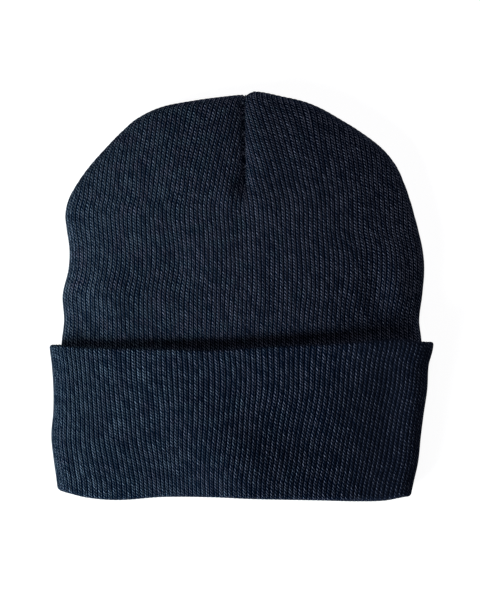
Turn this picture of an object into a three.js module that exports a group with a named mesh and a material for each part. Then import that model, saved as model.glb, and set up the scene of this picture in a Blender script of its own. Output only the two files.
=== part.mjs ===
// A cuffed winter hat of fine rib knit, lying flat on its back with its front up.
//
// Lengths are millimetres. The table is z = 0, +Y runs from the rim to the tip, +X is to the right as
// the hat is seen from above, and the origin is under the middle of the hat.
//
// The body is a knitted tube pressed flat: a sheet on the table, a domed sheet above it, and a round fold
// along each side. Four darts close it at the tip. The cuff follows the body from outside.

import * as THREE from 'three';

// Driving sizes of the body.
const CROWN_WIDTH = 190; // across the flat body where it leaves the cuff
const CROWN_HEIGHT = 132.8; // from the cuff's top edge to the gathered tip
const CROWN_LOFT = 24; // from the table to the top of the body
const KNIT = 3; // wall of two layers of knit
const FOLD_HOLLOW = 2; // radius left open inside a side fold
const TIP_TUCK = 1.8; // the right panel stands this much above the left one at the tip

// Driving sizes of the front and back darts.
const SEAM_DEPTH = 2.2;
const SEAM_WIDTH = 2.6;
const BACK_SEAM_DEPTH = 0.9;

// Driving sizes of the cuff.
const CUFF_HEIGHT = 82.6; // from its top edge to the rim
const CUFF_STAND = 2.9; // how far its top edge stands off the body
const INNER_LEG = 6; // how far the rim's knit reaches back inside the mouth
const DRAPE = 15; // length over which the body sinks to the table above the cuff

const CLEARANCE = 0.3; // between pieces, and between the legs of the cuff

// The mesh.
const FOLD_STEPS = 4; // columns round a quarter of a side fold
const SHEET_STEPS = 12; // columns from a side fold to a seam
const CROWN_ROWS = 19; // rows from the cuff's top edge to the tip
const LEG_ROWS = 7; // rows of the cuff, which the body inside it shares
const BEND_STEPS = 8; // round the rim
const LIP_STEPS = 4; // round the cuff's top edge

const HALF_WIDTH = CROWN_WIDTH / 2;
const FOLD_RADIUS = FOLD_HOLLOW + KNIT;
const TIP_Y = (CROWN_HEIGHT + CUFF_HEIGHT - TIP_TUCK) / 2;
const EDGE_Y = TIP_Y - CROWN_HEIGHT;
const RIM_RADIUS = KNIT + CLEARANCE / 2;

// Sections of the body above the cuff. `rise` is a share of CROWN_HEIGHT. `left`, `right` and `seam` are
// places across, as shares of HALF_WIDTH, and `loft` is a share of CROWN_LOFT.
const CROWN_SECTIONS = [
  { rise: 0.0, left: 0.998, right: 1.01, seam: 0.025, loft: 0.98 },
  { rise: 0.1, left: 0.986, right: 0.999, seam: 0.025, loft: 1.03 },
  { rise: 0.2, left: 0.994, right: 1.016, seam: 0.025, loft: 1.02 },
  { rise: 0.3, left: 0.962, right: 1.027, seam: 0.025, loft: 1.0 },
  { rise: 0.38, left: 0.956, right: 1.018, seam: 0.025, loft: 0.99 },
  { rise: 0.46, left: 0.971, right: 0.993, seam: 0.025, loft: 0.97 },
  { rise: 0.52, left: 0.979, right: 0.971, seam: 0.024, loft: 0.95 },
  { rise: 0.58, left: 0.961, right: 0.947, seam: 0.023, loft: 0.93 },
  { rise: 0.645, left: 0.912, right: 0.915, seam: 0.022, loft: 0.9 },
  { rise: 0.715, left: 0.842, right: 0.87, seam: 0.02, loft: 0.86 },
  { rise: 0.785, left: 0.755, right: 0.791, seam: 0.018, loft: 0.81 },
  { rise: 0.86, left: 0.652, right: 0.653, seam: 0.016, loft: 0.74 },
  { rise: 0.905, left: 0.577, right: 0.55, seam: 0.015, loft: 0.68 },
  { rise: 0.954, left: 0.427, right: 0.424, seam: 0.014, loft: 0.6 },
  { rise: 0.978, left: 0.25, right: 0.33, seam: 0.016, loft: 0.54 },
  { rise: 0.994, left: 0.078, right: 0.21, seam: 0.022, loft: 0.46 },
  { rise: 1.0, left: -0.026, right: 0.026, seam: 0.026, loft: 0.42 },
];

// Sections of the body inside the cuff. `depth` is a share of CUFF_HEIGHT, and the rest is as above.
const HIDDEN_SECTIONS = [
  { depth: 1.0, left: 0.985, right: 0.908, seam: 0.025, loft: 0.79 },
  { depth: 0.89, left: 0.987, right: 0.927, seam: 0.025, loft: 0.84 },
  { depth: 0.74, left: 1.005, right: 0.956, seam: 0.025, loft: 0.89 },
  { depth: 0.58, left: 1.018, right: 0.969, seam: 0.025, loft: 0.92 },
  { depth: 0.43, left: 1.004, right: 0.982, seam: 0.025, loft: 0.95 },
  { depth: 0.28, left: 0.997, right: 0.995, seam: 0.025, loft: 0.965 },
  { depth: 0.12, left: 0.996, right: 0.994, seam: 0.025, loft: 0.97 },
];

// The edges of the cuff in front, from fold to fold. `across` is a share of HALF_WIDTH. `edge`, down to
// the top edge, and `rim`, down to the rim, are shares of CUFF_HEIGHT, and `stand` of CUFF_STAND. At the
// back both edges are straight.
const CUFF_EDGES = [
  { across: -1.0, edge: -0.003, rim: 0.933, stand: 1.0 },
  { across: -0.86, edge: 0.008, rim: 0.971, stand: 0.6 },
  { across: -0.68, edge: 0.013, rim: 0.984, stand: 0.6 },
  { across: -0.43, edge: 0.018, rim: 0.961, stand: 0.7 },
  { across: -0.15, edge: 0.0255, rim: 0.958, stand: 0.8 },
  { across: 0.06, edge: 0.008, rim: 0.969, stand: 0.9 },
  { across: 0.27, edge: -0.006, rim: 0.978, stand: 1.0 },
  { across: 0.5, edge: -0.02, rim: 0.987, stand: 1.15 },
  { across: 0.7, edge: -0.037, rim: 0.995, stand: 1.3 },
  { across: 0.88, edge: -0.041, rim: 0.993, stand: 1.2 },
  { across: 1.0, edge: -0.022, rim: 0.97, stand: 1.0 },
];

// Puffs and hollows of the front. `across` and `wide` are shares of HALF_WIDTH, and `high` is a share of
// CROWN_LOFT. In the crown `rise` and `long` are shares of CROWN_HEIGHT, in the cuff `depth` and `long`
// are shares of CUFF_HEIGHT. `turn` is in degrees.
const CROWN_FORMS = [
  { across: -0.73, rise: 0.18, wide: 0.14, long: 0.15, turn: 0, high: 0.08 },
  { across: -0.34, rise: 0.3, wide: 0.11, long: 0.12, turn: 15, high: -0.045 },
  { across: -0.34, rise: 0.71, wide: 0.27, long: 0.12, turn: 0, high: 0.03 },
  { across: 0.88, rise: 0.22, wide: 0.07, long: 0.11, turn: 0, high: 0.075 },
  { across: 0.74, rise: 0.22, wide: 0.07, long: 0.12, turn: 0, high: -0.04 },
  { across: 0.12, rise: 0.785, wide: 0.08, long: 0.07, turn: 10, high: 0.035 },
  { across: -0.075, rise: 0.585, wide: 0.055, long: 0.05, turn: 0, high: 0.04 },
  { across: 0.13, rise: 0.565, wide: 0.075, long: 0.055, turn: 0, high: 0.035 },
  { across: 0.01, rise: 0.632, wide: 0.05, long: 0.035, turn: 0, high: -0.09 },
];
const CUFF_FORMS = [
  { across: -0.05, depth: 0.78, wide: 0.27, long: 0.26, turn: -15, high: 0.16 },
  { across: -0.3, depth: 0.4, wide: 0.25, long: 0.14, turn: -39, high: 0.03 },
  { across: 0.0, depth: 0.85, wide: 0.6, long: 0.5, turn: 0, high: 0.12 },
  { across: 0.7, depth: 0.75, wide: 0.45, long: 0.6, turn: 0, high: -0.14 },
  { across: 0.47, depth: 0.42, wide: 0.16, long: 0.12, turn: 30, high: 0.045 },
  { across: 0.8, depth: 0.36, wide: 0.1, long: 0.3, turn: 0, high: -0.045 },
];

const DART_END = 0.62; // where the front and back darts end, as a share of CROWN_HEIGHT
const DART_FADE = 0.06; // share of CROWN_HEIGHT over which a dart deepens above its end
const DOME_POWER = 2.5; // how square the domed front is across
const STAND_POWER = 2.5; // how quickly the cuff leaves the body near its top edge
const MOST_FOLD = 0.45; // most of a half section that the columns of its fold take
const CROWDING = 1.3; // how much closer the columns stand at a seam
const SLOPE_STEP = 0.002; // share of CROWN_HEIGHT over which the outline's slope is taken
const TUCK_WIDTH = 0.25; // reach of the tuck at the tip, as a share of HALF_WIDTH
const TUCK_START = 0.055; // width of the step at its left end, likewise
const TUCK_DEPTH = 0.1; // how far down it is felt, as a share of CROWN_HEIGHT

const { clamp, smoothstep, lerp, degToRad } = THREE.MathUtils;

/** A smooth curve through one column of a table, level beyond the ends. */
function curveThrough(rows, key, column) {
  const last = rows.length - 1;
  const slopes = rows.map((row, i) => {
    const before = rows[Math.max(i - 1, 0)];
    const after = rows[Math.min(i + 1, last)];
    return (after[column] - before[column]) / (after[key] - before[key]);
  });
  return (place) => {
    const at = clamp(place, rows[0][key], rows[last][key]);
    let i = 0;
    while (i < last - 1 && rows[i + 1][key] < at) i += 1;
    const span = rows[i + 1][key] - rows[i][key];
    const t = (at - rows[i][key]) / span;
    const rest = 1 - t;
    return (
      rest * rest * (1 + 2 * t) * rows[i][column] +
      t * t * (1 + 2 * rest) * rows[i + 1][column] +
      rest * t * span * (rest * slopes[i] - t * slopes[i + 1])
    );
  };
}

/** The station of a height: an angle above the cuff, so that the outline is smooth round the tip. */
function stationOf(y) {
  const rise = (y - EDGE_Y) / CROWN_HEIGHT;
  return rise > 0 ? Math.asin(Math.min(rise, 1)) : rise;
}

const STATIONS = [
  ...HIDDEN_SECTIONS.map((row) => ({ ...row, station: (-row.depth * CUFF_HEIGHT) / CROWN_HEIGHT })),
  ...CROWN_SECTIONS.map((row) => ({ ...row, station: Math.asin(row.rise) })),
];
const shareAt = {
  left: curveThrough(STATIONS, 'station', 'left'),
  right: curveThrough(STATIONS, 'station', 'right'),
  seam: curveThrough(STATIONS, 'station', 'seam'),
  loft: curveThrough(STATIONS, 'station', 'loft'),
};
const edgeAt = {
  edge: curveThrough(CUFF_EDGES, 'across', 'edge'),
  rim: curveThrough(CUFF_EDGES, 'across', 'rim'),
  stand: curveThrough(CUFF_EDGES, 'across', 'stand'),
};

/** Half the section's width on one side of the seam, +1 for the right. */
function halfWidth(y, side) {
  const station = stationOf(y);
  const edge = side > 0 ? shareAt.right(station) : shareAt.left(station);
  return HALF_WIDTH * Math.max(edge - side * shareAt.seam(station), 0);
}

/** How much wider an oblique side fold is, measured across, than a straight one. */
function obliquity(y, side) {
  const step = SLOPE_STEP * CROWN_HEIGHT;
  const high = Math.min(y + step, TIP_Y);
  const low = high - 2 * step;
  return Math.hypot(1, (halfWidth(high, side) - halfWidth(low, side)) / (high - low));
}

/** The height of a round edge above its middle, at a share of the way in. */
function roundEdge(share) {
  return Math.sqrt(1 - (1 - clamp(share, 0, 1)) ** 2);
}

/** One puff or hollow, 1 at its middle and falling away like a bell. */
function bell(x, y, form, middleY, length) {
  const turn = degToRad(form.turn);
  const dx = x - form.across * HALF_WIDTH;
  const dy = y - middleY;
  const along = dx * Math.cos(turn) + dy * Math.sin(turn);
  const cross = dy * Math.cos(turn) - dx * Math.sin(turn);
  return Math.exp(-((along / (form.wide * HALF_WIDTH)) ** 2) - (cross / length) ** 2);
}

/** How deep a dart is at a height, 0 below its end and 1 well above it. */
function dartAt(y) {
  const rise = (y - EDGE_Y) / CROWN_HEIGHT;
  return smoothstep(rise, DART_END, DART_END + DART_FADE);
}

/** Height of the front's puffs, hollows and dart over its plain dome. */
function frontRelief(x, y, seamX) {
  let high = 0;
  for (const form of CROWN_FORMS) {
    high += form.high * bell(x, y, form, EDGE_Y + form.rise * CROWN_HEIGHT, form.long * CROWN_HEIGHT);
  }
  for (const form of CUFF_FORMS) {
    high += form.high * bell(x, y, form, EDGE_Y - form.depth * CUFF_HEIGHT, form.long * CUFF_HEIGHT);
  }
  const seam = SEAM_DEPTH * dartAt(y) * Math.exp(-Math.abs(x - seamX) / SEAM_WIDTH);
  return high * CROWN_LOFT - seam;
}

/** How far the back lies above the table, because the cuff is under it. */
function backLift(y) {
  return (KNIT + CLEARANCE) * (1 - smoothstep(y, EDGE_Y + CLEARANCE, EDGE_Y + DRAPE));
}

/** How far the tuck lifts the tip of the right panel. */
function tuckAt(x, y, seamX) {
  const across = (x - seamX) / HALF_WIDTH;
  const start = smoothstep(across, 0, TUCK_START);
  const fall = 1 - smoothstep(across, TUCK_START, TUCK_WIDTH);
  const near = 1 - smoothstep(TIP_Y - y, 0, TUCK_DEPTH * CROWN_HEIGHT);
  return TIP_TUCK * start * fall * near;
}

// The columns of every section, once round: right and left in front, then left and right at the back.
// `step` counts from 0 at the side fold to `STEPS` at the seam.
const STEPS = FOLD_STEPS + SHEET_STEPS;
const COLUMNS = [];
for (let step = 0; step < STEPS; step += 1) COLUMNS.push({ side: 1, face: 1, step });
for (let step = STEPS; step > 0; step -= 1) COLUMNS.push({ side: -1, face: 1, step });
for (let step = 0; step < STEPS; step += 1) COLUMNS.push({ side: -1, face: -1, step });
for (let step = STEPS; step > 0; step -= 1) COLUMNS.push({ side: 1, face: -1, step });

/** How far in from the side fold a column lies, as a share of the half section. */
function inwardShare(step, foldShare) {
  if (step < FOLD_STEPS) return foldShare * (1 - Math.cos((step / FOLD_STEPS) * (Math.PI / 2)));
  const left = (STEPS - step) / SHEET_STEPS;
  return lerp(foldShare, 1, 1 - left ** CROWDING);
}

/** The outside of the body at a column and a height. */
function bodyPoint({ side, face, step }, y) {
  const half = halfWidth(y, side);
  const seamX = HALF_WIDTH * shareAt.seam(stationOf(y));
  const fold = FOLD_RADIUS * obliquity(y, side);
  const inward = half * inwardShare(step, Math.min(fold / Math.max(half, fold), MOST_FOLD));
  const x = seamX + side * (half - inward);
  const middleZ = backLift(y) + FOLD_RADIUS;
  const sideEdge = half > 0 ? roundEdge(inward / Math.min(fold, half)) : 0;
  const full = sideEdge * roundEdge((TIP_Y - y) / FOLD_RADIUS);
  let z = middleZ + face * FOLD_RADIUS * full;
  if (face > 0 && full > 0) {
    const loft = CROWN_LOFT * shareAt.loft(stationOf(y)) - middleZ - FOLD_RADIUS;
    const across = 1 - inward / half;
    z += full * (loft * (1 - across ** DOME_POWER) + frontRelief(x, y, seamX));
  } else {
    z += full * BACK_SEAM_DEPTH * dartAt(y) * Math.exp(-Math.abs(x - seamX) / SEAM_WIDTH);
  }
  return new THREE.Vector3(x, y + tuckAt(x, y, seamX), z);
}

/** Which way is out at each point of a ring, from its neighbours and the rings below and above. */
function outward(below, ring, above) {
  const count = ring.length;
  return ring.map((_, i) => {
    const round = ring[(i + 1) % count].clone().sub(ring[(i + count - 1) % count]);
    const up = above[i % above.length].clone().sub(below[i]);
    return up.cross(round).normalize();
  });
}

/** One body through a list of rings, where a ring of one point closes an end. */
function skin(rings, joinsItself) {
  const starts = [];
  const positions = [];
  for (const ring of rings) {
    starts.push(positions.length / 3);
    for (const point of ring) positions.push(point.x, point.y, point.z);
  }
  const index = [];
  const count = COLUMNS.length;
  const bands = joinsItself ? rings.length : rings.length - 1;
  for (let band = 0; band < bands; band += 1) {
    const next = (band + 1) % rings.length;
    for (let i = 0; i < count; i += 1) {
      const j = (i + 1) % count;
      const [a, b] = rings[band].length > 1 ? [i, j] : [0, 0];
      const [c, d] = rings[next].length > 1 ? [i, j] : [0, 0];
      if (a !== b) index.push(starts[band] + a, starts[next] + d, starts[band] + b);
      if (c !== d) index.push(starts[band] + a, starts[next] + c, starts[next] + d);
    }
  }
  const geometry = new THREE.BufferGeometry();
  geometry.setAttribute('position', new THREE.Float32BufferAttribute(positions, 3));
  geometry.setIndex(index);
  geometry.computeVertexNormals();
  return geometry;
}

/** One value of the cuff's edges at a column: straight from fold to fold at the back. */
function edgeValue(column, curve) {
  const across = clamp(bodyPoint(column, EDGE_Y).x / HALF_WIDTH, -1, 1);
  return column.face > 0 ? curve(across) : lerp(curve(-1), curve(1), (across + 1) / 2);
}

// For each column the heights of the cuff's top edge and of the rim, and how far the top edge stands off
// the body: not at all where it lies on the table.
const EDGES = COLUMNS.map((column) => {
  const foldAngle = (Math.min(column.step / FOLD_STEPS, 1) * Math.PI) / 2;
  const free = column.face > 0 ? 1 : Math.cos(foldAngle) ** 2;
  return {
    top: EDGE_Y - CUFF_HEIGHT * edgeValue(column, edgeAt.edge),
    rim: EDGE_Y - CUFF_HEIGHT * edgeValue(column, edgeAt.rim),
    stand: CUFF_STAND * free * edgeValue(column, edgeAt.stand),
  };
});

/** Heights of one row of the cuff: from the inner leg's end at share 0 to the lip's middle at share 1. */
function legRow(share) {
  const end = RIM_RADIUS + INNER_LEG + CLEARANCE;
  return EDGES.map(({ top, rim }) => lerp(rim + end, top - KNIT / 2, share));
}

/** The body from its lower edge inside the rim up to the tip, as a shell one wall thick. */
function crownGeometry() {
  const outside = [];
  for (let row = 0; row <= LEG_ROWS; row += 1) {
    const heights = legRow(row / LEG_ROWS);
    outside.push(COLUMNS.map((column, i) => bodyPoint(column, heights[i])));
  }
  for (let row = 1; row < CROWN_ROWS; row += 1) {
    const y = EDGE_Y + CROWN_HEIGHT * Math.sin(((row / CROWN_ROWS) * Math.PI) / 2);
    outside.push(COLUMNS.map((column) => bodyPoint(column, y)));
  }
  const tip = bodyPoint({ side: 1, face: 1, step: STEPS }, TIP_Y);
  const inside = outside.map((ring, row) => {
    const normals = outward(outside[Math.max(row - 1, 0)], ring, outside[row + 1] ?? [tip]);
    return ring.map((point, i) => point.clone().addScaledVector(normals[i], -KNIT));
  });
  const innerTip = tip.clone().add(new THREE.Vector3(0, -KNIT, 0));
  return skin([[innerTip], ...inside.reverse(), ...outside, [tip]], false);
}

/** The turned-up band: inner leg, rolled rim, outer leg and rounded top edge, once round. */
function cuffGeometry() {
  const bend = EDGES.map(({ rim }) => rim + RIM_RADIUS);
  const ringAt = (heights, shift) => COLUMNS.map((column, i) => bodyPoint(column, heights[i] + shift));
  const layer = (heights, share, off, along) => {
    const ring = ringAt(heights, 0);
    const normals = outward(ringAt(heights, -KNIT), ring, ringAt(heights, KNIT));
    return ring.map((point, i) => {
      const stand = EDGES[i].stand * share ** STAND_POWER;
      return new THREE.Vector3(0, along, 0).add(point).addScaledVector(normals[i], off + stand);
    });
  };
  const rings = [];
  rings.push(layer(bend, 0, CLEARANCE + KNIT, 0));
  for (let row = 0; row <= LEG_ROWS; row += 1) {
    rings.push(layer(legRow(row / LEG_ROWS), row / LEG_ROWS, CLEARANCE + KNIT, 0));
  }
  for (let step = 1; step < LIP_STEPS; step += 1) {
    const angle = (step / LIP_STEPS) * Math.PI;
    const off = CLEARANCE + (KNIT / 2) * (1 + Math.cos(angle));
    rings.push(layer(legRow(1), 1, off, (KNIT / 2) * Math.sin(angle)));
  }
  for (let row = LEG_ROWS; row >= 0; row -= 1) {
    rings.push(layer(legRow(row / LEG_ROWS), row / LEG_ROWS, CLEARANCE, 0));
  }
  rings.push(layer(bend, 0, CLEARANCE, 0));
  rings.push(layer(bend, 0, CLEARANCE / 2, -CLEARANCE / 2));
  rings.push(layer(bend, 0, 0, 0));
  rings.push(layer(bend, 0, 0, INNER_LEG));
  rings.push(layer(bend, 0, -KNIT, INNER_LEG));
  rings.push(layer(bend, 0, -KNIT, 0));
  for (let step = 1; step < BEND_STEPS; step += 1) {
    const angle = Math.PI - (step / BEND_STEPS) * Math.PI;
    const off = CLEARANCE / 2 + RIM_RADIUS * Math.cos(angle);
    rings.push(layer(bend, 0, off, -RIM_RADIUS * Math.sin(angle)));
  }
  return skin(rings, true);
}

/** A named piece of navy knit. */
function knitPiece(name, geometry, color) {
  const material = new THREE.MeshStandardMaterial({ color, roughness: 0.95, metalness: 0 });
  const mesh = new THREE.Mesh(geometry, material);
  mesh.name = name;
  return mesh;
}

const hat = new THREE.Group();
hat.add(knitPiece('crown', crownGeometry(), '#1b2433'));
hat.add(knitPiece('cuff', cuffGeometry(), '#1c2838'));

export default hat;
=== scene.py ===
"""A cuffed winter hat of fine rib knit, lying on a pale floor with its front up.

Lengths are millimetres until a mesh is made. The floor is z = 0, +Y runs from the rim to the tip, and +X
is to the right as the hat is seen from above. A place on the flattened body is an angle `phi` round it,
-90 degrees at the left fold, 0 at the front seam and 180 at the back seam, and a station `psi` up it,
0 at the cuff's top edge and 90 degrees at the tip.
"""

import math

import bmesh
import bpy
import numpy as np
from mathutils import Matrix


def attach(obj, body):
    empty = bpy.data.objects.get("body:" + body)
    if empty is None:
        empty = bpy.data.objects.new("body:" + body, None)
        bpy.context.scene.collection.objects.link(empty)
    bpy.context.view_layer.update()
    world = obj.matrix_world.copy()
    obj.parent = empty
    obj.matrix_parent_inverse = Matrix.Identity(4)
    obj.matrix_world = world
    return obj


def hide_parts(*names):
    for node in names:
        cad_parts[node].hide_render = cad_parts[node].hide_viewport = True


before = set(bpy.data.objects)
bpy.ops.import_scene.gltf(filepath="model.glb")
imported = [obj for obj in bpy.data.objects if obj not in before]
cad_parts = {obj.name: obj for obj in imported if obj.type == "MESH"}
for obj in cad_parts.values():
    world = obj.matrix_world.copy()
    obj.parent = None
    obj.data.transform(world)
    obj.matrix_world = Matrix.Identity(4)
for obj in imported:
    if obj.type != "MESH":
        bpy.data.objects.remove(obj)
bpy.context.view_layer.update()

MM = 0.001

# The body.
CROWN_WIDTH = 190.0
CROWN_HEIGHT = 132.8
CROWN_LOFT = 24.0
KNIT = 3.0
FOLD_HOLLOW = 2.0
TIP_TUCK = 1.8
SEAM_DEPTH = 2.2
SEAM_WIDTH = 2.6
BACK_SEAM_DEPTH = 0.9

# The cuff.
CUFF_HEIGHT = 82.6
CUFF_STAND = 2.9
INNER_LEG = 6.0
DRAPE = 15.0
CLEARANCE = 0.3

HALF_WIDTH = CROWN_WIDTH / 2
FOLD_RADIUS = FOLD_HOLLOW + KNIT
TIP_Y = (CROWN_HEIGHT + CUFF_HEIGHT - TIP_TUCK) / 2
EDGE_Y = TIP_Y - CROWN_HEIGHT
RIM_RADIUS = KNIT + CLEARANCE / 2

# Sections of the body above the cuff: shares of CROWN_HEIGHT, of HALF_WIDTH (three) and of CROWN_LOFT.
CROWN_SECTIONS = [
    ("rise", "left", "right", "seam", "loft"),
    (0.0, 0.998, 1.01, 0.025, 0.98),
    (0.1, 0.986, 0.999, 0.025, 1.03),
    (0.2, 0.994, 1.016, 0.025, 1.02),
    (0.3, 0.962, 1.027, 0.025, 1.0),
    (0.38, 0.956, 1.018, 0.025, 0.99),
    (0.46, 0.971, 0.993, 0.025, 0.97),
    (0.52, 0.979, 0.971, 0.024, 0.95),
    (0.58, 0.961, 0.947, 0.023, 0.93),
    (0.645, 0.912, 0.915, 0.022, 0.9),
    (0.715, 0.842, 0.87, 0.02, 0.86),
    (0.785, 0.755, 0.791, 0.018, 0.81),
    (0.86, 0.652, 0.653, 0.016, 0.74),
    (0.905, 0.577, 0.55, 0.015, 0.68),
    (0.954, 0.427, 0.424, 0.014, 0.6),
    (0.978, 0.25, 0.33, 0.016, 0.54),
    (0.994, 0.078, 0.21, 0.022, 0.46),
    (1.0, -0.026, 0.026, 0.026, 0.42),
]

# Sections of the body inside the cuff, where `depth` is a share of CUFF_HEIGHT.
HIDDEN_SECTIONS = [
    ("depth", "left", "right", "seam", "loft"),
    (1.0, 0.985, 0.908, 0.025, 0.79),
    (0.89, 0.987, 0.927, 0.025, 0.84),
    (0.74, 1.005, 0.956, 0.025, 0.89),
    (0.58, 1.018, 0.969, 0.025, 0.92),
    (0.43, 1.004, 0.982, 0.025, 0.95),
    (0.28, 0.997, 0.995, 0.025, 0.965),
    (0.12, 0.996, 0.994, 0.025, 0.97),
]

# The edges of the cuff in front: shares of HALF_WIDTH, of CUFF_HEIGHT (two) and of CUFF_STAND.
CUFF_EDGES = [
    ("across", "edge", "rim", "stand"),
    (-1.0, -0.003, 0.933, 1.0),
    (-0.86, 0.008, 0.971, 0.6),
    (-0.68, 0.013, 0.984, 0.6),
    (-0.43, 0.018, 0.961, 0.7),
    (-0.15, 0.0255, 0.958, 0.8),
    (0.06, 0.008, 0.969, 0.9),
    (0.27, -0.006, 0.978, 1.0),
    (0.5, -0.02, 0.987, 1.15),
    (0.7, -0.037, 0.995, 1.3),
    (0.88, -0.041, 0.993, 1.2),
    (1.0, -0.022, 0.97, 1.0),
]

# Puffs and hollows of the front: shares of HALF_WIDTH, of CROWN_HEIGHT or CUFF_HEIGHT, of HALF_WIDTH, of
# the same height, degrees, and a share of CROWN_LOFT.
CROWN_FORMS = [
    ("across", "rise", "wide", "long", "turn", "high"),
    (-0.73, 0.18, 0.14, 0.15, 0, 0.08),
    (-0.34, 0.3, 0.11, 0.12, 15, -0.045),
    (-0.34, 0.71, 0.27, 0.12, 0, 0.03),
    (0.88, 0.22, 0.07, 0.11, 0, 0.075),
    (0.74, 0.22, 0.07, 0.12, 0, -0.04),
    (0.12, 0.785, 0.08, 0.07, 10, 0.035),
    (-0.075, 0.585, 0.055, 0.05, 0, 0.04),
    (0.13, 0.565, 0.075, 0.055, 0, 0.035),
    (0.01, 0.632, 0.05, 0.035, 0, -0.09),
]
CUFF_FORMS = [
    ("across", "depth", "wide", "long", "turn", "high"),
    (-0.05, 0.78, 0.27, 0.26, -15, 0.16),
    (-0.3, 0.4, 0.25, 0.14, -39, 0.03),
    (0.0, 0.85, 0.6, 0.5, 0, 0.12),
    (0.7, 0.75, 0.45, 0.6, 0, -0.14),
    (0.47, 0.42, 0.16, 0.12, 30, 0.045),
    (0.8, 0.36, 0.1, 0.3, 0, -0.045),
]

# How the front of the body dips where it goes into the cuff.
DIP_DEPTHS = (1.9, 3.0)  # left of the first place in DIP_SPAN, and right of the second
DIP_SPAN = (-0.75, -0.25)  # shares of HALF_WIDTH
DIP_WIDTH = 4.5
DIP_ABOVE = 1.5  # its middle above the cuff's top edge

# The course of the forms, in shares of CROWN_HEIGHT and, in the tuck's width and start, of HALF_WIDTH.
DART_END = 0.62  # where the darts of the seams end at the bottom
DART_FADE = 0.06
SLOPE_STEP = 0.002  # over which the outline's slope is taken
TUCK_WIDTH = 0.25  # the tuck to the right of the seam at the tip
TUCK_START = 0.055
TUCK_DEPTH = 0.1
DOME_POWER = 2.5  # how flat the middle of a section is
STAND_POWER = 2.5  # how late the cuff leaves the body on its way up
FOLD_POWER = 6  # how near to the folds the forms and the waver of the ribs reach
NORMAL_STEPS = (0.004, 0.006)  # round and up the body, in which its slope is taken
SMALLEST = 1e-9  # in place of 0 where a length divides

# The knit: ribs (wales) on each side of a seam, and the stitches along them.
LEFT_RIBS = 43
RIGHT_RIBS = 40
COURSE = 1.67  # length of a stitch along its rib
RIB_STEPS = 5  # columns of the mesh to a rib
RIB_DEPTH = 0.55
EDGE_CROWDING = -0.03  # how much closer the ribs lie at the folds, and less than 0 is further apart
CUFF_CROWDING = 0.07
LEFT_END_SHARE = 0.968  # the ribs at a side end where the body is narrower than this share of its width
RIGHT_END_SHARE = 0.998
LEFT_DART_RIBS = 5.8  # ribs that end at the front seam, on each side of it
RIGHT_DART_RIBS = 6.4
DART_REACH = 44.0  # how far from the seam the ribs lean towards it
GATHER_START = 0.54  # share of CROWN_HEIGHT above which they lean
GATHER_POWER = 1.3
LEFT_TIP_CROWDING = 0.05  # how much closer the ribs lie at the tip
RIGHT_TIP_CROWDING = 0.02
TIP_CROWDING_FULL = 0.7  # share of the gathering at which they lie as close as that
PIN_REACH = 12.0  # how near the seam the ribs don't waver
RIB_PITCH = 2.33  # from rib to rib
GROOVE_POWER = 0.8  # how sharp the grooves between the ribs are
RIB_FADE = 4.0  # length over which a rib flattens at its end
SEAM_LINE_DEPTH = 1.0  # the narrow line of a seam, in its dart
SEAM_LINE_WIDTH = 0.7
SIDE_FADE = 0.4  # share of the ribs' depth that is left at the sides
PIT_X = 2.0  # the pinch at the front seam's lower end
PIT_Y = 59.8
PIT_WIDTH = 2.4
PIT_LENGTH = 5.0
PIT_DEPTH = 1.1
CUFF_RIB_DEPTH = 0.5
RIM_FADE = 0.8  # share of the ribs' depth that is stretched out of them along the rim
CUFF_COURSES = (1.52, 1.77)  # length of a stitch of the cuff at the left and at the right
WAVER_TERMS = 7  # waves that the waver of the ribs is the sum of
WAVER_LENGTHS = (9.0, 30.0)
WAVER_STRETCH = 2.0  # how much longer they are along the ribs
WAVER_HIGH = 0.1  # in ribs
FRONT_SEED = 11
BACK_SEED = 12
CUFF_SEED = 14

# Where the ribs of the front sway to the right: as CROWN_FORMS, but `high` is a share of HALF_WIDTH.
SWAYS = [
    ("across", "rise", "wide", "long", "turn", "high"),
    (-0.06, 0.29, 0.35, 0.2, 0, 0.017),
    (0.85, 0.35, 0.2, 0.16, 0, 0.014),
]

# How far the cuff's ribs lean, in degrees with the top to the right, beyond following its outline.
CUFF_LEANS = [
    ("across", "lean"),
    (-0.95, -1.5),
    (-0.82, -4.5),
    (-0.69, -5.0),
    (-0.56, -4.5),
    (-0.45, -3.0),
    (-0.35, 0.0),
    (-0.2, 2.5),
    (-0.05, 4.5),
    (0.1, 4.5),
    (0.25, 5.5),
    (0.4, 4.5),
    (0.6, 3.5),
    (0.75, 4.0),
    (0.9, 1.0),
    (1.0, 0.0),
]
LEAN_AT_EDGE = -0.7  # share of the lean at the cuff's top edge, whose flare leans the ribs
LEAN_FULL = 0.5  # share of the cuff's height below which it is whole

# The mesh of the body and the cuff.
HIDDEN_ROWS = 6
CROWN_ROWS = 90
ROW_CROWDING = 1.6  # how much closer the rows lie towards the tip
INNER_COLUMNS = 1  # columns of the inside to a rib
INNER_ROWS = 4  # rows of the outside to one of the inside
BACK_STEPS = 3  # columns to a rib at the back of the cuff
INNER_LEG_ROWS = 3
BEND_ROWS = 10
LEG_ROWS = 56
LIP_ROWS = 6
LINING_ROWS = 8
HIDDEN_DEPTH = 8.0  # this far below the cuff's top edge the body is out of sight
HIDDEN_TOP = EDGE_Y - HIDDEN_DEPTH
BACK_RIBS = 100  # added to the rib numbers of the back, so that its stitches are others
TABLE_ROWS = 260  # in the tables of rib numbers
TABLE_COLUMNS = 721
MERGE = 0.004  # vertices nearer to each other than this are one

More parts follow.
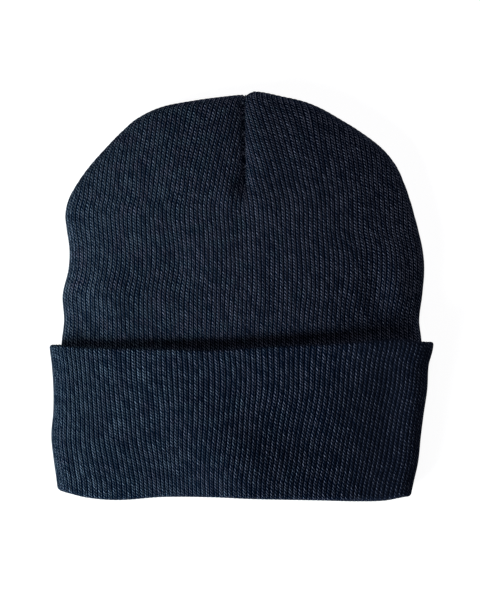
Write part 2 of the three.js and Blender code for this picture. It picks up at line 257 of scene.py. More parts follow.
# Where the front (1) and the back (-1) lie in the bake: left, low, right, high.
CROWN_BAKE = {1: (0.005, 0.44, 0.995, 0.995), -1: (0.005, 0.1, 0.995, 0.43)}
INSIDE_BAKE = {1: (0.005, 0.005, 0.495, 0.09), -1: (0.505, 0.005, 0.995, 0.09)}
CUFF_BAKE = {1: (0.005, 0.4, 0.995, 0.995), -1: (0.005, 0.005, 0.995, 0.39)}

# The photograph's frame, and the light.
PHOTO_WIDTH = 480  # in pixels, as the next two
PHOTO_HEIGHT = 600
PHOTO_MIDDLE = (240.5, 295.9)  # where the middle of the hat is, from the top left
PIXEL = 0.53  # a pixel's size at FOCUS_HEIGHT above the floor
FOCUS_HEIGHT = 6.0
CAMERA_DISTANCE = 1.3  # from there, in metres
SENSOR_WIDTH = 36
FLOOR_REACH = 2.5  # in metres
FLOOR_GREY = 0.3
FLOOR_ROUGHNESS = 0.9
FLOOR_GLOW = 0.92
WORLD_STRENGTH = 0.04
WHITE = (1, 1, 1, 1)

# Square soft lights: degrees from +X and above the floor, metres, watts.
LIGHTS = [
    ("name", "azimuth", "elevation", "distance", "size", "power", "tint"),
    ("key", 216, 18, 1.6, 0.9, 62, (0.92, 1.0, 1.04)),
    ("fill", 78, 38, 1.8, 1.6, 10, (1.0, 0.97, 1.06)),
]


def column_of(table, name):
    """One column of a table whose first row holds the names."""
    return np.array([row[table[0].index(name)] for row in table[1:]], float)


def curve_through(keys, values):
    """A smooth curve through points, level beyond the ends."""
    slopes = np.empty_like(values)
    slopes[1:-1] = (values[2:] - values[:-2]) / (keys[2:] - keys[:-2])
    slopes[0] = (values[1] - values[0]) / (keys[1] - keys[0])
    slopes[-1] = (values[-1] - values[-2]) / (keys[-1] - keys[-2])

    def curve(place):
        at = np.clip(place, keys[0], keys[-1])
        i = np.clip(np.searchsorted(keys, at) - 1, 0, len(keys) - 2)
        span = keys[i + 1] - keys[i]
        t = (at - keys[i]) / span
        rest = 1 - t
        ends = rest * rest * (1 + 2 * t) * values[i] + t * t * (1 + 2 * rest) * values[i + 1]
        return ends + rest * t * span * (rest * slopes[i] - t * slopes[i + 1])

    return curve


def smoothstep(value, low, high):
    t = np.clip((value - low) / (high - low), 0, 1)
    return t * t * (3 - 2 * t)


hidden_stations = -column_of(HIDDEN_SECTIONS, "depth") * CUFF_HEIGHT / CROWN_HEIGHT
crown_stations = np.arcsin(column_of(CROWN_SECTIONS, "rise"))
stations = np.concatenate([hidden_stations, crown_stations])
share_at = {
    name: curve_through(
        stations,
        np.concatenate([column_of(HIDDEN_SECTIONS, name), column_of(CROWN_SECTIONS, name)]),
    )
    for name in ("left", "right", "seam", "loft")
}
edge_at = {
    name: curve_through(column_of(CUFF_EDGES, "across"), column_of(CUFF_EDGES, name))
    for name in ("edge", "rim", "stand")
}


def height_of(psi):
    return EDGE_Y + CROWN_HEIGHT * np.where(psi > 0, np.sin(np.minimum(psi, math.pi / 2)), psi)


def station_of(y):
    rise = (y - EDGE_Y) / CROWN_HEIGHT
    return np.where(rise > 0, np.arcsin(np.clip(rise, 0, 1)), rise)


def half_width(y, right):
    """Half the section's width on the right or the left of the seam."""
    station = station_of(y)
    seam = share_at["seam"](station)
    wide = np.where(right, share_at["right"](station) - seam, share_at["left"](station) + seam)
    return HALF_WIDTH * np.maximum(wide, 0)


def obliquity(y, right):
    """How much wider the fold at a side is for running aslant."""
    step = SLOPE_STEP * CROWN_HEIGHT
    high = np.minimum(y + step, TIP_Y)
    low = high - 2 * step
    return np.hypot(1, (half_width(high, right) - half_width(low, right)) / (high - low))


def round_edge(share):
    """A quarter circle, from 0 at an edge to 1 in the full thickness."""
    return np.sqrt(1 - (1 - np.clip(share, 0, 1)) ** 2)


def bells(x, y, table, middle_of, length_of):
    """The sum of a table's puffs and hollows."""
    total = 0
    for across, place, wide, long, turn, high in table[1:]:
        angle = math.radians(turn)
        dx = x - across * HALF_WIDTH
        dy = y - middle_of(place)
        along = dx * math.cos(angle) + dy * math.sin(angle)
        cross = dy * math.cos(angle) - dx * math.sin(angle)
        total += high * np.exp(-((along / (wide * HALF_WIDTH)) ** 2) - (cross / length_of(long)) ** 2)
    return total


def crown_bells(x, y, table):
    return bells(x, y, table, lambda rise: EDGE_Y + rise * CROWN_HEIGHT, lambda long: long * CROWN_HEIGHT)


def cuff_bells(x, y, table):
    return bells(x, y, table, lambda depth: EDGE_Y - depth * CUFF_HEIGHT, lambda long: long * CUFF_HEIGHT)


def dart_at(y):
    """How much of a dart there is at a height, from 0 to 1."""
    return smoothstep((y - EDGE_Y) / CROWN_HEIGHT, DART_END, DART_END + DART_FADE)


def body(phi, psi):
    """The outside of the body, as an array of points."""
    phi, psi = np.broadcast_arrays(phi, psi)
    y = height_of(psi)
    across = np.sin(phi)
    front = np.cos(phi) > 0
    right = across > 0
    half = half_width(y, right)
    seam_x = HALF_WIDTH * share_at["seam"](station_of(y))
    fold = np.minimum(FOLD_RADIUS * obliquity(y, right), np.maximum(half, SMALLEST))
    x = seam_x + across * half
    lift = (KNIT + CLEARANCE) * (1 - smoothstep(y, EDGE_Y + CLEARANCE, EDGE_Y + DRAPE))
    middle = lift + FOLD_RADIUS
    full = round_edge(half * (1 - abs(across)) / fold) * round_edge((TIP_Y - y) / FOLD_RADIUS)
    crease = dart_at(y) * np.exp(-abs(x - seam_x) / SEAM_WIDTH)
    loft = CROWN_LOFT * share_at["loft"](station_of(y)) - middle - FOLD_RADIUS
    relief = CROWN_LOFT * (crown_bells(x, y, CROWN_FORMS) + cuff_bells(x, y, CUFF_FORMS))
    dome = loft * (1 - abs(across) ** DOME_POWER) + relief - SEAM_DEPTH * crease
    z = middle + full * np.where(front, FOLD_RADIUS + dome, BACK_SEAM_DEPTH * crease - FOLD_RADIUS)
    out = (x - seam_x) / HALF_WIDTH
    tuck = smoothstep(out, 0, TUCK_START) * (1 - smoothstep(out, TUCK_START, TUCK_WIDTH))
    tuck = TIP_TUCK * tuck * (1 - smoothstep(TIP_Y - y, 0, TUCK_DEPTH * CROWN_HEIGHT))
    return np.stack([x, y + tuck, z], axis=-1)


def unit(vectors):
    return vectors / np.maximum(np.linalg.norm(vectors, axis=-1, keepdims=True), SMALLEST)


def outward(phi, psi):
    """Which way is out on the body."""
    turn, climb = NORMAL_STEPS
    high = np.minimum(psi + climb, math.pi / 2)
    round_it = body(phi + turn, psi) - body(phi - turn, psi)
    up_it = body(phi, high) - body(phi, high - 2 * climb)
    return unit(np.cross(round_it, up_it))


def waver(x, y, seed):
    """A small smooth unevenness of the ribs, in ribs."""
    numbers = np.random.default_rng(seed)
    total = 0
    for _ in range(WAVER_TERMS):
        turn = numbers.uniform(0, 2 * math.pi)
        length = numbers.uniform(*WAVER_LENGTHS)
        phase = numbers.uniform(0, 2 * math.pi)
        place = (x * math.cos(turn) + y * math.sin(turn) / WAVER_STRETCH) / length
        total = total + np.sin(2 * math.pi * place + phase)
    return WAVER_HIGH * total / math.sqrt(WAVER_TERMS)


def face_angle(phi, face):
    """The angle on the front (1) or, behind it, on the back (-1)."""
    return phi if face > 0 else math.pi - phi


def arcs(points):
    """Distance along each row of points from its middle, less than 0 on the left."""
    steps = np.linalg.norm(np.diff(points[..., [0, 2]], axis=-2), axis=-1)
    arc = np.concatenate([np.zeros(steps.shape[:-1] + (1,)), np.cumsum(steps, axis=-1)], axis=-1)
    return arc - arc[..., [arc.shape[-1] // 2]]


def rib_count(share, crowding):
    """Ribs from the seam at a share of the way to a fold."""
    count = np.where(share < 0, LEFT_RIBS, RIGHT_RIBS)
    return count * share * (1 - crowding + crowding * share * share)


def angle_of(ribs, tables):
    """The angle at which each row's table, over TABLE_PHI, reaches its rib number."""
    i = np.clip((tables < ribs[:, None]).sum(axis=1), 1, TABLE_PHI.size - 1)
    rows = np.arange(len(ribs))
    low, high = tables[rows, i - 1], tables[rows, i]
    t = np.clip((ribs - low) / np.maximum(high - low, SMALLEST), 0, 1)
    return TABLE_PHI[i - 1] + t * (TABLE_PHI[i] - TABLE_PHI[i - 1])


def groove(ribs):
    """How deep between two ribs a place is, from 0 on a rib to 1."""
    return 1 - np.abs(np.sin(math.pi * ribs)) ** GROOVE_POWER


# Rib numbers over the whole body, for the front and the back.
TABLE_PHI = np.linspace(-math.pi / 2, math.pi / 2, TABLE_COLUMNS)
LOW_PSI = -CUFF_HEIGHT / CROWN_HEIGHT
HIDDEN_PSI = np.linspace(LOW_PSI, 0, TABLE_ROWS // 4)
TABLE_PSI = np.concatenate([HIDDEN_PSI, np.linspace(0, math.pi / 2, TABLE_ROWS)[1:]])


def gather_at(y):
    """How much of the gathering at the seam is done at a height, from 0 to 1."""
    rise = np.clip(((y - EDGE_Y) / CROWN_HEIGHT - GATHER_START) / (1 - GATHER_START), 0, 1)
    return rise**GATHER_POWER


def crown_tables():
    """Rib numbers over TABLE_PSI and TABLE_PHI for the front and for the back."""
    phi, psi = np.meshgrid(TABLE_PHI, TABLE_PSI)
    front = body(phi, psi)
    arc = arcs(front)
    y = height_of(TABLE_PSI)[:, None]
    settled = np.argmin(abs(TABLE_PSI))
    reach = [abs(arc[:, 0])[:, None], arc[:, -1][:, None]]
    tables = []
    for face, seed in ((1, FRONT_SEED), (-1, BACK_SEED)):
        points = body(face_angle(phi, face), psi)
        along = arcs(points)
        share = np.where(along < 0, along / -along[:, :1], along / np.maximum(along[:, -1:], SMALLEST))
        length = np.where(along < 0, reach[0], reach[1])
        settled_length = np.where(along < 0, reach[0][settled], reach[1][settled])
        crowding = np.where(along < 0, LEFT_TIP_CROWDING, RIGHT_TIP_CROWDING)
        crowding = crowding * smoothstep(gather_at(y), 0, TIP_CROWDING_FULL)
        settled_length = settled_length * (1 - crowding)
        widest = np.maximum.accumulate(length[::-1], axis=0)[::-1]  # at this height or above it
        kept = np.where(along < 0, LEFT_END_SHARE, RIGHT_END_SHARE)
        stretched = share * widest / np.maximum(widest, kept * settled_length)
        ribs = rib_count(stretched, EDGE_CROWDING)
        ended = np.where(TABLE_PHI < 0, -LEFT_DART_RIBS, RIGHT_DART_RIBS) * (TABLE_PHI != 0)
        ribs = ribs + ended * gather_at(y) * np.exp(-((share * length / DART_REACH) ** 2))
        x = points[..., 0]
        sway = HALF_WIDTH * crown_bells(x, points[..., 1], SWAYS) if face > 0 else 0
        closed = smoothstep((y - EDGE_Y) / CROWN_HEIGHT, GATHER_START - DART_FADE, GATHER_START)
        pinned = (1 - abs(share) ** FOLD_POWER) * (1 - closed * np.exp(-((share * length / PIN_REACH) ** 2)))
        drift = waver(x, points[..., 1], seed) - sway / RIB_PITCH
        ribs = np.maximum.accumulate(ribs + pinned * drift, axis=1)
        tables.append(np.clip(ribs, -LEFT_RIBS, RIGHT_RIBS))
    return tables


def crown_ends(ribs, table):
    """The station at which each rib ends, at a side or at the front seam."""
    ends = []
    right, left = table[:, -1], -table[:, 0]
    gather = gather_at(height_of(TABLE_PSI))
    for rib in ribs:
        edge = right if rib > 0 else left
        dart_ribs = RIGHT_DART_RIBS if rib > 0 else LEFT_DART_RIBS
        last = np.nonzero(edge >= abs(rib) - SMALLEST)[0][-1]
        after = min(last + 1, len(TABLE_PSI) - 1)
        span = edge[last] - edge[after]
        t = (edge[last] - abs(rib)) / span if span > SMALLEST else 0
        end = TABLE_PSI[last] + t * (TABLE_PSI[after] - TABLE_PSI[last])
        if not rib:
            end = station_of(EDGE_Y + GATHER_START * CROWN_HEIGHT)
        elif abs(rib) < dart_ribs:
            end = np.interp(abs(rib) / dart_ribs, gather, TABLE_PSI)
        ends.append(min(end, math.pi / 2))
    return np.array(ends)


class Skin:
    """Vertices, faces and two UV maps, gathered grid by grid."""

    def __init__(self):
        self.points = []
        self.faces = []
        self.knit = []
        self.bake = []
        self.count = 0

    def grid(self, points, knit, rect, flip=False):
        """Adds a grid of points and returns the numbers of its vertices. `rect` is its place in the bake."""
        rows, columns = points.shape[:2]
        numbers = self.count + np.arange(rows * columns).reshape(rows, columns)
        across, up = np.meshgrid(np.linspace(0, 1, columns), np.linspace(0, 1, rows))
        left, low, right, high = rect
        self.points.append(points.reshape(-1, 3))
        self.knit.append(knit.reshape(-1, 2))
        bake = np.stack([left + (right - left) * across, low + (high - low) * up], axis=-1)
        self.bake.append(bake.reshape(-1, 2))
        self.count += rows * columns
        corners = [numbers[:-1, :-1], numbers[:-1, 1:], numbers[1:, 1:], numbers[1:, :-1]]
        if flip:
            corners.reverse()
        self.faces += np.stack(corners, axis=-1).reshape(-1, 4).tolist()
        return numbers

    def mesh(self, name):
        """The mesh object, in metres, with its coinciding vertices merged."""
        mesh = bpy.data.meshes.new(name)
        mesh.from_pydata((np.concatenate(self.points) * MM).tolist(), [], self.faces)
        corners = np.empty(len(mesh.loops), int)
        mesh.loops.foreach_get("vertex_index", corners)
        for layer, values in (("OFBake", self.bake), ("Knit", self.knit)):
            uv = mesh.uv_layers.new(name=layer)
            uv.data.foreach_set("uv", np.concatenate(values)[corners].ravel())
        shape = bmesh.new()
        shape.from_mesh(mesh)
        bmesh.ops.remove_doubles(shape, verts=shape.verts, dist=MERGE * MM)
        for face in shape.faces:
            face.smooth = True
        shape.to_mesh(mesh)
        shape.free()
        piece = bpy.data.objects.new(name, mesh)
        bpy.context.collection.objects.link(piece)
        return piece


def cuff_edge(phi, face, name):
    """One of the values of the cuff's edges at an angle."""
    across = np.clip(body(face_angle(phi, face), 0.0)[..., 0] / HALF_WIDTH, -1, 1)
    if face > 0:
        return edge_at[name](across)
    return edge_at[name](-1.0) + (edge_at[name](1.0) - edge_at[name](-1.0)) * (across + 1) / 2


def dip_at(points, phi):
    """How far the front of the body dips at the cuff's top edge."""
    edge = EDGE_Y - CUFF_HEIGHT * edge_at["edge"](points[..., 0] / HALF_WIDTH)
    above = (points[..., 1] - edge - DIP_ABOVE) / DIP_WIDTH
    depth = np.interp(points[..., 0] / HALF_WIDTH, DIP_SPAN, DIP_DEPTHS)
    return depth * np.exp(-(above**2)) * (1 - np.sin(phi) ** FOLD_POWER)


def pit_at(points):
    """How far the front is pinched in at the seam's lower end."""
    across = (points[..., 0] - PIT_X) / PIT_WIDTH
    along = (points[..., 1] - PIT_Y) / PIT_LENGTH
    return PIT_DEPTH * np.exp(-(across**2) - along**2)


def crown_piece():
    """The body, ribbed outside and plain inside, front and back."""
    ribs = np.arange(-LEFT_RIBS * RIB_STEPS, RIGHT_RIBS * RIB_STEPS + 1) / RIB_STEPS
    tables = crown_tables()
    ends = height_of(crown_ends(ribs, tables[0]))
    steps = np.linspace(0, 1, CROWN_ROWS + 1)
    climb = 1 - (1 - steps) ** ROW_CROWDING
    skin = Skin()
    outer = {}
    inner = {}
    for face in (1, -1):
        table = tables[0 if face > 0 else 1]
        base_phi = angle_of(ribs, np.repeat(table[:1], len(ribs), axis=0))
        rim = EDGE_Y - CUFF_HEIGHT * cuff_edge(base_phi, face, "rim")
        base = rim + RIM_RADIUS + INNER_LEG + CLEARANCE
        hidden = base + (HIDDEN_TOP - base) * np.linspace(0, 1, HIDDEN_ROWS + 1)[:-1, None]
        y = np.concatenate([hidden, HIDDEN_TOP + (ends - HIDDEN_TOP) * climb[:, None]])
        psi = station_of(y)
        phi = np.empty_like(psi)
        place = np.interp(psi, TABLE_PSI, np.arange(len(TABLE_PSI)))
        for row in range(len(psi)):
            low = np.minimum(place[row].astype(int), len(TABLE_PSI) - 2)
            t = (place[row] - low)[:, None]
            phi[row] = angle_of(ribs, table[low] * (1 - t) + table[low + 1] * t)
        in_seam = (ribs > -LEFT_DART_RIBS) & (ribs < RIGHT_DART_RIBS)
        phi[-1] = np.where(in_seam, 0, np.sign(ribs) * math.pi / 2)
        phi[:, 0], phi[:, -1] = -math.pi / 2, math.pi / 2
        angle = face_angle(phi, face)
        smooth = body(angle, psi)
        out = outward(angle, psi)
        if face > 0:
            smooth[..., 2] -= dip_at(smooth, phi) + pit_at(smooth)
        fade = smoothstep(ends - y, 0, RIB_FADE) * (1 - SIDE_FADE) + SIDE_FADE
        fade = np.where(in_seam, smoothstep(ends - y, 0, RIB_FADE), fade)
        seam_x = HALF_WIDTH * share_at["seam"](psi)
        line = SEAM_LINE_DEPTH * dart_at(y) * np.exp(-(((smooth[..., 0] - seam_x) / SEAM_LINE_WIDTH) ** 2))
        points = smooth - (RIB_DEPTH * groove(ribs) * fade + line)[..., None] * out
        lengths = np.linalg.norm(np.diff(smooth, axis=0), axis=-1)
        along = np.concatenate([np.zeros((1, len(ribs))), np.cumsum(lengths, axis=0)])
        start = np.array([np.interp(EDGE_Y, y[:, i], along[:, i]) for i in range(len(ribs))])
        knit = np.stack([np.broadcast_to(ribs, y.shape), (along - start) / COURSE], axis=-1)
        if face < 0:
            knit = knit + np.array([BACK_RIBS, 0])
        outer[face] = skin.grid(points, knit, CROWN_BAKE[face], flip=face < 0)
        step = RIB_STEPS * INNER_COLUMNS
        some = (slice(None, None, INNER_ROWS), slice(None, None, step))
        inside = (smooth - KNIT * out)[some]
        inner[face] = skin.grid(inside, knit[some], INSIDE_BAKE[face], flip=face > 0)
        for column in range(inner[face].shape[1] - 1):
            edge = outer[face][0, column * step : (column + 1) * step + 1].tolist()
            ends_of_edge = inner[face][0, column : column + 2].tolist()
            around = ends_of_edge + edge[::-1]
            skin.faces.append(around if face > 0 else around[::-1])
    return skin.mesh("crown_knit")


def cuff_layer(phi, face, share, off, along, at_bend, mix):
    """Points of the cuff and which way is out there. `mix` turns out towards the rim or the lip."""
    rim = EDGE_Y - CUFF_HEIGHT * cuff_edge(phi, face, "rim")
    top = EDGE_Y - CUFF_HEIGHT * cuff_edge(phi, face, "edge")
    low = rim + RIM_RADIUS + INNER_LEG + CLEARANCE
    y = rim + RIM_RADIUS if at_bend else low + (top - KNIT / 2 - low) * share
    psi = station_of(y)
    angle = face_angle(phi, face)
    stand = CUFF_STAND * cuff_edge(phi, face, "stand") * share**STAND_POWER
    if face < 0:
        right = phi > 0
        fold = FOLD_RADIUS * obliquity(y, right)
        stand = stand * (1 - np.clip(half_width(y, right) * (1 - abs(np.sin(phi))) / fold, 0, 1)) ** 2
    out = outward(angle, psi)
    upward = np.array([0.0, 1.0, 0.0])
    points = body(angle, psi) + (off + stand)[..., None] * out + along * upward
    return points, unit(math.cos(mix) * out + math.sin(mix) * upward)


def cuff_ribs(face, share, lean_reach):
    """Rib numbers over TABLE_PHI on one row of the cuff's outer leg."""
    points, _ = cuff_layer(TABLE_PHI, face, share, CLEARANCE + KNIT, 0.0, False, 0.0)
    arc = arcs(points)
    part = np.where(arc < 0, arc / -arc[0], arc / arc[-1])
    ribs = rib_count(part, CUFF_CROWDING)
    drift = waver(points[:, 0], points[:, 1], CUFF_SEED + face)
    if face > 0:
        lean = curve_through(column_of(CUFF_LEANS, "across"), column_of(CUFF_LEANS, "lean"))
        drift = drift + np.tan(np.radians(lean(points[:, 0] / HALF_WIDTH))) * lean_reach / RIB_PITCH
    return np.maximum.accumulate(ribs + drift * (1 - abs(part) ** FOLD_POWER))


def cuff_piece():
    """The cuff, row by row from its inner leg round the rim, up, over the lip and down its lining."""
    skin = Skin()
    shares = np.linspace(0, 1, LEG_ROWS + 1)
    ramp = LEAN_AT_EDGE + (1 - LEAN_AT_EDGE) * smoothstep(1 - shares, 0, LEAN_FULL)
    reach = np.cumsum(ramp[::-1])[::-1] * CUFF_HEIGHT / LEG_ROWS
    outer_off = CLEARANCE + KNIT
    for face, steps in ((1, RIB_STEPS), (-1, BACK_STEPS)):
        ribs = np.arange(-LEFT_RIBS * steps, RIGHT_RIBS * steps + 1) / steps
        angles = [np.interp(ribs, cuff_ribs(face, s, r), TABLE_PHI) for s, r in zip(shares, reach)]
        for row in angles:
            row[0], row[-1] = -math.pi / 2, math.pi / 2
        low, high = angles[0], angles[-1]
        # Each row: angles, share of the way up, off the body, along it, at the bend, turn of out, ribbed.
        rows = []
        for step in range(INNER_LEG_ROWS):
            rows.append((low, 0.0, -KNIT, INNER_LEG * (1 - step / INNER_LEG_ROWS), True, math.pi, 1.0))
        for turn in np.linspace(math.pi, 0, BEND_ROWS + 1):
            off = CLEARANCE / 2 + RIM_RADIUS * math.cos(turn)
            ribbed = 1 - RIM_FADE * math.sin(turn)
            rows.append((low, 0.0, off, -RIM_RADIUS * math.sin(turn), True, -turn, ribbed))
        for angle, share in zip(angles, shares):
            rows.append((angle, share, outer_off, 0.0, False, 0.0, 1.0))
        for turn in np.linspace(0, math.pi, LIP_ROWS + 1)[1:]:
            off = CLEARANCE + KNIT / 2 * (1 + math.cos(turn))
            rows.append((high, 1.0, off, KNIT / 2 * math.sin(turn), False, turn, 1 - turn / math.pi))
        for step in range(LINING_ROWS - 1, -1, -1):
            row = step * LEG_ROWS // LINING_ROWS
            rows.append((angles[row], shares[row], CLEARANCE, 0.0, False, math.pi, 0.0))
        rows.append((low, 0.0, CLEARANCE, 0.0, True, math.pi, 0.0))
        rows.append((low, 0.0, CLEARANCE / 2, -CLEARANCE / 2, True, math.pi, 0.0))
        rows.append((low, 0.0, 0.0, 0.0, True, math.pi, 0.0))
        rows.append((low, 0.0, 0.0, INNER_LEG, True, math.pi, 0.0))
        rows.append((low, 0.0, -KNIT, INNER_LEG, True, math.pi, 1.0))
        points = []
        for angle, share, off, along, at_bend, mix, ribbed in rows:
            place, out = cuff_layer(angle, face, share, off, along, at_bend, mix)
            points.append(place - (ribbed * CUFF_RIB_DEPTH * groove(ribs))[:, None] * out)
        points = np.array(points)
        lengths = np.linalg.norm(np.diff(points, axis=0), axis=-1)
        run = np.concatenate([np.zeros((1, len(ribs))), np.cumsum(lengths, axis=0)])
        course = np.interp(ribs, (-LEFT_RIBS, RIGHT_RIBS), CUFF_COURSES)
        knit = np.stack([np.broadcast_to(ribs, run.shape), run / course], axis=-1)
        if face < 0:
            knit = knit + np.array([BACK_RIBS, 0])
        skin.grid(points, knit, CUFF_BAKE[face], flip=face < 0)
    return skin.mesh("cuff_knit")


def join(tree, value, socket):
    """Links a socket or sets a constant."""
    if isinstance(value, bpy.types.NodeSocket):
        tree.links.new(value, socket)
    else:
        socket.default_value = value


def calc(tree, operation, *values):
    """One step of arithmetic on sockets and numbers."""
    node = tree.nodes.new("ShaderNodeMath")
    node.operation = operation
    for value, socket in zip(values, node.inputs):
        join(tree, value, socket)
    return node.outputs[0]


def fit(tree, value, low, high, to_low=0.0, to_high=1.0):
    """A smooth step of a value from one range to another."""
    node = tree.nodes.new("ShaderNodeMapRange")
    node.interpolation_type = "SMOOTHSTEP"
    for place, part in enumerate((value, low, high, to_low, to_high)):
        join(tree, part, node.inputs[place])
    return node.outputs[0]


def band(tree, value, span, softness):
    """1 inside a span and 0 outside it, with soft ends."""
    start, end = span
    rise = fit(tree, value, start, start + softness[0])
    fall = fit(tree, value, end - softness[1], end, 1.0, 0.0)
    return calc(tree, "MULTIPLY", rise, fall)


def noise(tree, vector, scale, detail):
    """A smooth random pattern from 0 to 1."""
    node = tree.nodes.new("ShaderNodeTexNoise")
    join(tree, vector, node.inputs["Vector"])
    node.inputs["Scale"].default_value = scale
    node.inputs["Detail"].default_value = detail
    return node.outputs[0]


def chance(tree, x, y):
    """A number from 0 to 1 for each whole x and y."""
    both = tree.nodes.new("ShaderNodeCombineXYZ")
    join(tree, calc(tree, "FLOOR", x), both.inputs[0])
    join(tree, calc(tree, "FLOOR", y), both.inputs[1])
    node = tree.nodes.new("ShaderNodeTexWhiteNoise")
    node.noise_dimensions = "2D"
    tree.links.new(both.outputs[0], node.inputs["Vector"])
    return node.outputs["Value"]


def blend(tree, factor, low, high):
    """A colour between two."""
    node = tree.nodes.new("ShaderNodeMix")
    node.data_type = "RGBA"
    join(tree, factor, node.inputs["Factor"])
    join(tree, low, node.inputs[6])
    join(tree, high, node.inputs[7])
    return node.outputs[2]


def wave(tree, phase):
    """0 to 1 and back for each whole turn of the phase."""
    turn = calc(tree, "MULTIPLY", phase, 2 * math.pi)
    return calc(tree, "MULTIPLY_ADD", calc(tree, "COSINE", turn), 0.5, 0.5)


# The stitches. Lengths across a rib are in ribs from its middle, and along it in stitches.
UNEVEN_NOISE = (0.45, 2.0)  # scale and detail
WOBBLE_NOISE = (0.8, 1.0)
FIBRE_NOISE = (9.0, 2.0)
MOTTLE_NOISE = (0.22, 4.0)
LEFT_SOFTNESS = (0.14, 0.18)  # over how much of the rib a leg of a stitch comes up and goes down
RIGHT_SOFTNESS = (0.12, 0.12)
RIGHT_LAG = 0.35  # how far behind the left leg the right one is
LEFT_DROP = (-0.2, 0.15, 1.0, 0.6)  # from where to where the left leg dims, and from what to what
FIBRE_SHARE = 0.8  # how much of a stitch's lightness its fibres decide
FIBRE_BASE = 0.6
FIBRE_RELIEF = 0.35
RELIEF = 0.0006  # in metres
ROUGHNESS = 0.92


def knit_material(name, look):
    """Rows of stitches with two legs each, light on their strands and with painted shade in the gaps between
    them.
    """
    material = bpy.data.materials.new(name)
    material.use_nodes = True
    tree = material.node_tree
    shader = tree.nodes["Principled BSDF"]
    uv = tree.nodes.new("ShaderNodeUVMap")
    uv.uv_map = "Knit"
    parts = tree.nodes.new("ShaderNodeSeparateXYZ")
    tree.links.new(uv.outputs[0], parts.inputs[0])
    across, along = parts.outputs[0], parts.outputs[1]

    uneven = noise(tree, uv.outputs[0], *UNEVEN_NOISE)
    stitch = calc(tree, "MULTIPLY_ADD", uneven, look["uneven"], along)
    stitch = calc(tree, "MULTIPLY_ADD", chance(tree, across, 0.0), look["offset"], stitch)
    wobble = noise(tree, uv.outputs[0], *WOBBLE_NOISE)
    wobble = calc(tree, "MULTIPLY_ADD", wobble, look["wobble"], -look["wobble"] / 2)
    place = calc(tree, "SUBTRACT", calc(tree, "FRACT", across), 0.5)
    place = calc(tree, "ADD", place, wobble)
    left_phase = calc(tree, "MULTIPLY_ADD", place, look["left_slope"], stitch)
    right_phase = calc(tree, "MULTIPLY_ADD", place, -look["right_slope"], stitch)
    left_stroke = calc(tree, "POWER", wave(tree, left_phase), look["sharpness"])
    right_stroke = wave(tree, calc(tree, "ADD", right_phase, RIGHT_LAG))

    left_leg = band(tree, place, look["left_span"], LEFT_SOFTNESS)
    right_leg = band(tree, place, look["right_span"], RIGHT_SOFTNESS)
    left = calc(tree, "MULTIPLY_ADD", left_stroke, 1 - look["left_floor"], look["left_floor"])
    right = calc(tree, "MULTIPLY_ADD", right_stroke, 1 - look["right_floor"], look["right_floor"])
    left = calc(tree, "MULTIPLY", calc(tree, "MULTIPLY", left, left_leg), fit(tree, place, *LEFT_DROP))
    right = calc(tree, "MULTIPLY", calc(tree, "MULTIPLY", right, right_leg), look["right_high"])
    high = calc(tree, "ADD", left, right)

    luck = chance(tree, across, left_phase)
    speckle = calc(tree, "MULTIPLY_ADD", luck, look["luck"], 1 - look["luck"] / 2)
    fibre = noise(tree, uv.outputs[0], *FIBRE_NOISE)
    speckle = calc(tree, "MULTIPLY", speckle, calc(tree, "MULTIPLY_ADD", fibre, FIBRE_SHARE, FIBRE_BASE))
    value = calc(tree, "POWER", calc(tree, "MULTIPLY", high, speckle), look["contrast"])

    spot = tree.nodes.new("ShaderNodeTexCoord")
    spot_parts = tree.nodes.new("ShaderNodeSeparateXYZ")
    tree.links.new(spot.outputs["Object"], spot_parts.inputs[0])
    mottle = noise(tree, uv.outputs[0], *MOTTLE_NOISE)
    # The drift from teal on the left to plum on the right is partly the yarn's hue and partly painted light:
    # the lit left bluer and, on the cuff, lighter.
    tint = calc(tree, "MULTIPLY_ADD", spot_parts.outputs[0], look["tint_drift"], mottle)
    tint = fit(tree, tint, *look["tint_span"])
    # Painted shade: towards the right the stitches' lightness is pulled down to a low level.
    painted_right_shade = fit(tree, spot_parts.outputs[0], *look["painted_right_shade_span"], 0.0, look["painted_right_shade"])
    value = calc(tree, "MULTIPLY_ADD", calc(tree, "SUBTRACT", look["painted_right_shade_level"], value), painted_right_shade, value)
    yarn = blend(tree, tint, look["teal"], look["plum"])
    # The gap colour is painted shade between the strands, lifted by a painted bluish sheen; the lightness
    # blends from it to the yarn.
    tree.links.new(blend(tree, value, look["painted_gap_shade"], yarn), shader.inputs["Base Color"])

    bump = tree.nodes.new("ShaderNodeBump")
    bump.inputs["Strength"].default_value = 1.0
    bump.inputs["Distance"].default_value = RELIEF
    rough = calc(tree, "MULTIPLY_ADD", fibre, FIBRE_RELIEF, high)
    tree.links.new(rough, bump.inputs["Height"])
    tree.links.new(bump.outputs[0], shader.inputs["Normal"])
    shader.inputs["Roughness"].default_value = ROUGHNESS
    shader.inputs["Specular IOR Level"].default_value = 0.0
    return material


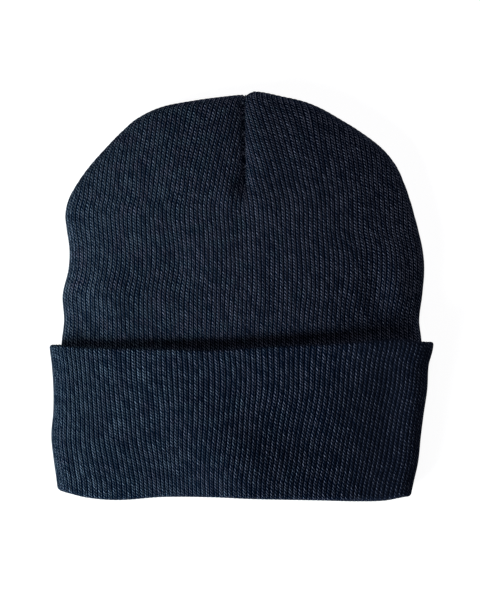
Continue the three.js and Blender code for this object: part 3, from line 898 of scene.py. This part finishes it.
CROWN_LOOK = {
    "uneven": 1.0,  # how far the stitches of a place are shifted along their ribs
    "offset": 0.8,  # how far each rib's stitches are shifted against the next rib's
    "wobble": 0.06,  # how much the legs wander across the rib
    "left_slope": 1.6,  # how steeply the strands of a leg rise
    "right_slope": 0.6,
    "sharpness": 3.0,  # how narrow the strands of the left leg are
    "left_span": (-0.43, 0.16),  # where a leg lies across the rib
    "right_span": (0.08, 0.42),
    "left_floor": 0.0,  # how light a leg stays between its strands
    "right_floor": 0.5,
    "right_high": 0.75,  # how light the right leg is against the left one
    "luck": 0.7,  # how much the stitches differ in lightness
    "contrast": 2.0,
    "tint_drift": 2.5,  # how fast the yarn turns from teal to plum, for each metre to the right; partly the yarn's own hue, partly painted light, with teal on the lit left
    "tint_span": (0.3, 0.52),
    # painted shade in the gaps between strands, lifted by a painted bluish sheen
    "painted_gap_shade": (0.0004, 0.0038, 0.0125, 1.0),
    "teal": (0.181, 0.248, 0.32, 1.0),
    "plum": (0.206, 0.228, 0.312, 1.0),
    "painted_right_shade": 0.0,  # how far painted shade pulls the stitches to a low lightness towards the right
    "painted_right_shade_span": (0.04, 0.078),  # from where to where the painted shade comes in, in metres
    "painted_right_shade_level": 0.05,  # the low lightness that the painted shade pulls them to there
}
CUFF_LOOK = {
    **CROWN_LOOK,
    "left_slope": 1.3,
    "right_slope": 0.25,
    "left_span": (-0.45, 0.13),
    "right_span": (0.1, 0.4),
    "right_floor": 0.32,
    "right_high": 0.74,
    "contrast": 2.3,
    "tint_drift": 3.0,
    "tint_span": (0.15, 0.6),
    # The cuff's teal is lighter than its plum, so its drift paints the left side lighter and the right side
    # darker.
    "teal": (0.2492, 0.3626, 0.4732, 1.0),
    "plum": (0.1918, 0.2156, 0.2968, 1.0),
    # painted shade on the cuff's right side
    "painted_right_shade": 0.55,
}

crown = crown_piece()
cuff = cuff_piece()
for piece, node, slot, look in (
    (crown, "crown", "navy_knit", CROWN_LOOK),
    (cuff, "cuff", "navy_cuff_knit", CUFF_LOOK),
):
    piece.data.materials.append(knit_material(slot, look))
    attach(piece, "root")
    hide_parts(node)

# The floor, the light and the camera.
floor_mesh = bpy.data.meshes.new("floor")
corners = [(-FLOOR_REACH, -FLOOR_REACH, 0), (FLOOR_REACH, -FLOOR_REACH, 0)]
corners += [(FLOOR_REACH, FLOOR_REACH, 0), (-FLOOR_REACH, FLOOR_REACH, 0)]
floor_mesh.from_pydata(corners, [], [(0, 1, 2, 3)])
floor = bpy.data.objects.new("floor", floor_mesh)
bpy.context.collection.objects.link(floor)
paint = bpy.data.materials.new("floor_paint")
paint.use_nodes = True
gloss = paint.node_tree.nodes["Principled BSDF"]
gloss.inputs["Base Color"].default_value = (FLOOR_GREY, FLOOR_GREY, FLOOR_GREY, 1)
gloss.inputs["Roughness"].default_value = FLOOR_ROUGHNESS
gloss.inputs["Emission Color"].default_value = WHITE
gloss.inputs["Emission Strength"].default_value = FLOOR_GLOW
floor_mesh.materials.append(paint)


def area_light(name, azimuth, elevation, distance, size, power, tint):
    """A square soft light that looks at the hat."""
    data = bpy.data.lights.new(name, "AREA")
    data.size = size
    data.energy = power
    data.color = tint
    light = bpy.data.objects.new(name, data)
    a, e = math.radians(azimuth), math.radians(elevation)
    toward = (math.cos(a) * math.cos(e), math.sin(a) * math.cos(e), math.sin(e))
    light.location = [distance * part for part in toward]
    light.rotation_euler = light.location.to_track_quat("Z", "Y").to_euler()
    bpy.context.collection.objects.link(light)


for row in LIGHTS[1:]:
    area_light(*row)
world = bpy.data.worlds.new("studio")
world.use_nodes = True
world.node_tree.nodes["Background"].inputs["Color"].default_value = WHITE
world.node_tree.nodes["Background"].inputs["Strength"].default_value = WORLD_STRENGTH
bpy.context.scene.world = world

camera_data = bpy.data.cameras.new("camera")
camera_data.sensor_width = SENSOR_WIDTH
camera_data.lens = SENSOR_WIDTH * CAMERA_DISTANCE / (PHOTO_HEIGHT * PIXEL * MM)
camera = bpy.data.objects.new("camera", camera_data)
hat_x, hat_y = PHOTO_MIDDLE
camera.location = (
    (PHOTO_WIDTH / 2 - hat_x) * PIXEL * MM,
    (hat_y - PHOTO_HEIGHT / 2) * PIXEL * MM,
    CAMERA_DISTANCE + FOCUS_HEIGHT * MM,
)
bpy.context.collection.objects.link(camera)
bpy.context.scene.camera = camera
bpy.context.scene.view_settings.view_transform = "Standard"
